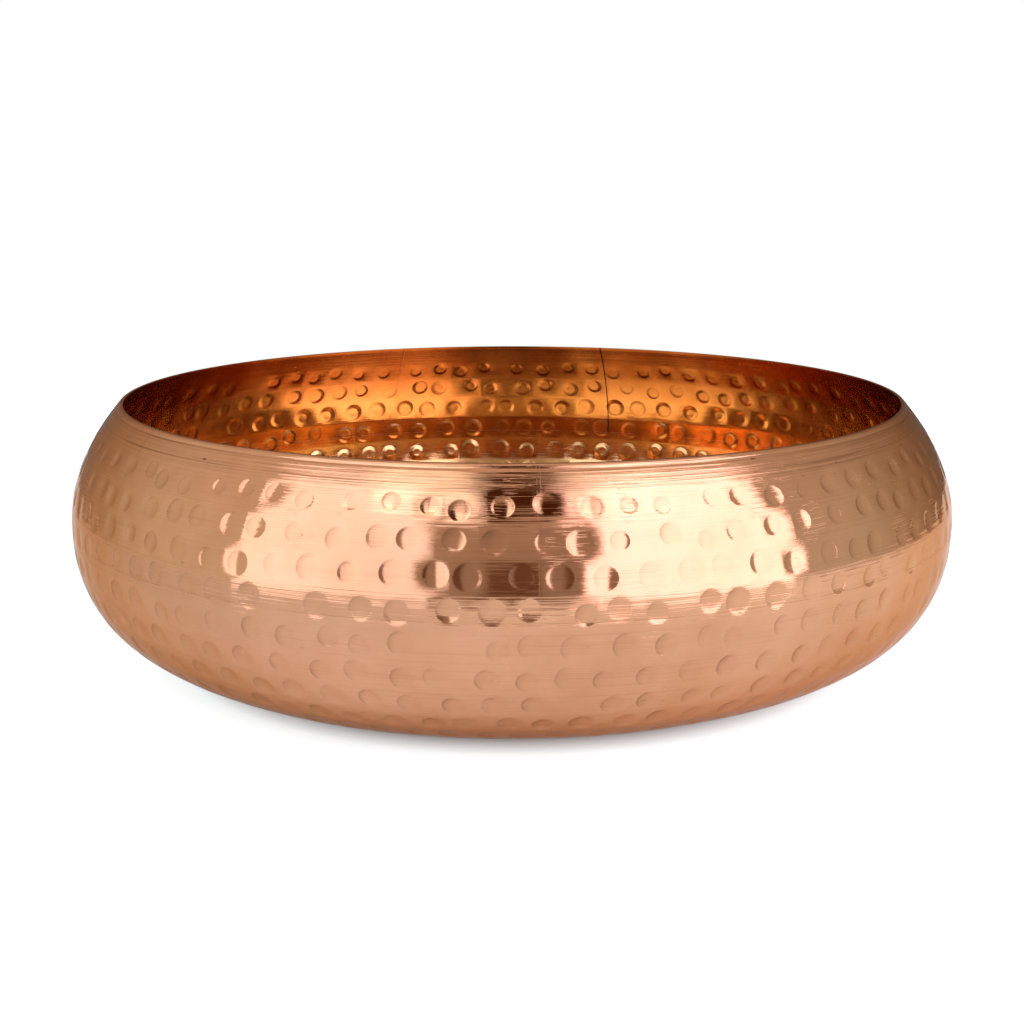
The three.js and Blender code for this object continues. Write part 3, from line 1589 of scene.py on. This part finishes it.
@dataclass
class Studio:
    """The floor, the lights, the sky and the camera."""

    floor_radius: float = 0.62
    floor_segments: int = 96
    floor_shade: tuple[float, float, float] = (0.81, 0.88, 0.88)
    floor_tint: tuple[float, float, float] = (0.88, 1.0, 1.02)
    glow_near: float = 0.1
    glow_far: float = 0.68
    glow_reach: tuple[float, float] = (0.106, 0.12)
    glow_mirrored: tuple[float, float] = (0.0, 0.23)
    target_height: float = 0.05
    sky: float = 0.38
    sky_sides: float = 0.47
    sky_top: float = 0.42
    sky_top_focus: float = 3.0
    sky_left: float = 0.1
    sky_behind: float = 0.26
    sky_tint_ahead: tuple[float, float, float] = (1.15, 0.94, 0.82)
    sky_tint_beside: tuple[float, float, float] = (1.0, 0.98, 0.92)
    left_tint: tuple[float, float, float] = (0.79, 0.84, 1.07)
    right_tint: tuple[float, float, float] = (0.88, 0.76, 1.0)
    camera_back: float = 0.5826
    camera_height: float = 0.1757
    camera_tilt: float = math.radians(12.5)
    lens: float = 58.54

    def build(self) -> None:
        """Sets up everything round the bowl."""
        self._make_floor()
        self._make_lights()
        self._make_sky()
        self._make_camera()
        bpy.context.scene.view_settings.view_transform = "Standard"
        log.info("studio: floor, lights, sky and camera")

    def _make_floor(self) -> None:
        """Lays a round white floor."""
        bm = bmesh.new()
        bmesh.ops.create_circle(bm, cap_ends=True, segments=self.floor_segments, radius=self.floor_radius)
        stage_piece("studio_floor", bm, self._floor_paint())

    def _floor_paint(self) -> bpy.types.Material:
        """Makes the floor's paint: matt white with a painted glow, so that it runs into the white
        backdrop.

        The painted glow fades in past the bowl's foot, so the bowl's shadow shows only in a narrow
        band, and what the bowl mirrors of it grows towards +X, a painted brighter reflection there.

        Returns:
            The paint.
        """
        paint = Recipe("studio_floor_paint")
        place = paint.object_place()
        away = paint.node("VectorMath", Vector=place)
        away.operation = "LENGTH"
        # Painted glow seen by the camera, weak only near the bowl's foot
        seen = paint.span(away.outputs["Value"], self.glow_reach, (self.glow_near, self.glow_far))
        path = paint.node("LightPath").outputs
        across = paint.node("SeparateXYZ", Vector=place).outputs[0]
        # Painted glow in reflections, brighter towards +X
        side = paint.span(across, (-self.floor_radius / 2, self.floor_radius / 2), self.glow_mirrored)
        strength = paint.plus(
            paint.times(path["Is Camera Ray"], seen), paint.times(path["Is Glossy Ray"], side)
        )
        lit = paint.node("Emission", Color=(*self.floor_tint, 1), Strength=strength)
        surface = paint.node("AddShader")
        matt_white = paint.node("BsdfDiffuse", Color=(*self.floor_shade, 1))
        paint.feed(surface.inputs[0], matt_white.outputs[0])
        paint.feed(surface.inputs[1], lit.outputs[0])
        return paint.finish(surface.outputs[0])

    def _make_lights(self) -> None:
        """Hangs the softboxes and the two dark cards between them."""
        degrees = math.radians
        for light in (
            Softbox(
                "left_softbox", degrees(-45), distance=1.1, middle=0.7, width=0.98, length=1.9,
                radiance=1.6, colour=self.left_tint, swing=degrees(8),
            ),
            Softbox(
                "right_softbox", degrees(45.5), distance=1.1, middle=0.7, width=1.05, length=1.9,
                radiance=2.9, colour=self.right_tint, swing=degrees(-8),
            ),
            Softbox(
                "left_strip", degrees(-15), distance=1.1, middle=1.32, width=0.28, length=0.56,
                radiance=1.2, colour=self.left_tint, swing=degrees(5),
            ),
            Softbox(
                "right_strip", degrees(17.5), distance=1.1, middle=1.32, width=0.16, length=0.56,
                radiance=1.9, colour=self.right_tint, swing=degrees(-5),
            ),
            Softbox(
                "left_top_light", degrees(-30), distance=0.93, middle=1.6, width=0.75, length=0.72,
                radiance=1.1, colour=(0.95, 1.12, 1.15), swing=degrees(-12), overhead=True,
            ),
            Softbox(
                "right_top_light", degrees(33), distance=0.96, middle=1.6, width=0.9, length=0.72,
                radiance=0.8, colour=(0.95, 1.08, 1.25), swing=degrees(16), overhead=True,
            ),
        ):
            light.make()
        for card in (
            Flag(
                "low_flag", 0.0, degrees(10), distance=0.85, width=0.19, height=0.26,
                shade=(0.36, 0.22, 0.145),
            ),
            Flag(
                "high_flag", degrees(2), degrees(57), distance=1.2, width=0.36, height=0.5,
                shade=(0.1, 0.03, 0.005),
            ),
        ):
            card.make(Vector((0, 0, self.target_height)))

    def _make_sky(self) -> None:
        """Surrounds the scene with a plain soft light that is stronger at the sides and above.

        It is weaker behind and towards +X, and what the camera sees of it directly is plain white.
        """
        world = bpy.data.worlds.new("studio_sky")
        bpy.context.scene.world = world
        world.use_nodes = True
        sky = Recipe("studio_sky", world.node_tree)
        place = sky.node("TexCoord").outputs["Generated"]
        across, back, up = sky.node("SeparateXYZ", Vector=place).outputs
        beside = sky.times(across, across)
        above = sky.math("POWER", sky.math("MAXIMUM", up, 0.0), self.sky_top_focus)
        strength = sky.plus(
            sky.times(beside, self.sky_sides),
            sky.times(across, -self.sky_left),
            sky.times(above, self.sky_top),
            self.sky,
            sky.times(sky.math("MAXIMUM", back, 0.0), -self.sky_behind),
        )
        colour = sky.blend(beside, (*self.sky_tint_ahead, 1), (*self.sky_tint_beside, 1))
        soft = sky.node("Background", Color=colour, Strength=strength)
        backdrop = sky.node("Background", Color=(1, 1, 1, 1))
        choose = sky.node("MixShader", Fac=sky.node("LightPath").outputs["Is Camera Ray"])
        sky.feed(choose.inputs[1], soft.outputs[0])
        sky.feed(choose.inputs[2], backdrop.outputs[0])
        sky.node("OutputWorld", Surface=choose.outputs[0])

    def _make_camera(self) -> None:
        """Sets the camera in front of the bowl, looking slightly down into it."""
        data = bpy.data.cameras.new("camera")
        data.lens = self.lens
        camera = bpy.data.objects.new("camera", data)
        camera.location = (0, -self.camera_back, self.camera_height)
        camera.rotation_euler = (math.radians(90) - self.camera_tilt, 0, 0)
        bpy.context.scene.collection.objects.link(camera)
        bpy.context.scene.camera = camera


def main() -> None:
    """Builds the studio and the bowl."""
    logging.basicConfig(level=logging.INFO, format="%(name)s %(message)s")
    Studio().build()
    CopperBowl().build()


if __name__ == "__main__":
    main()
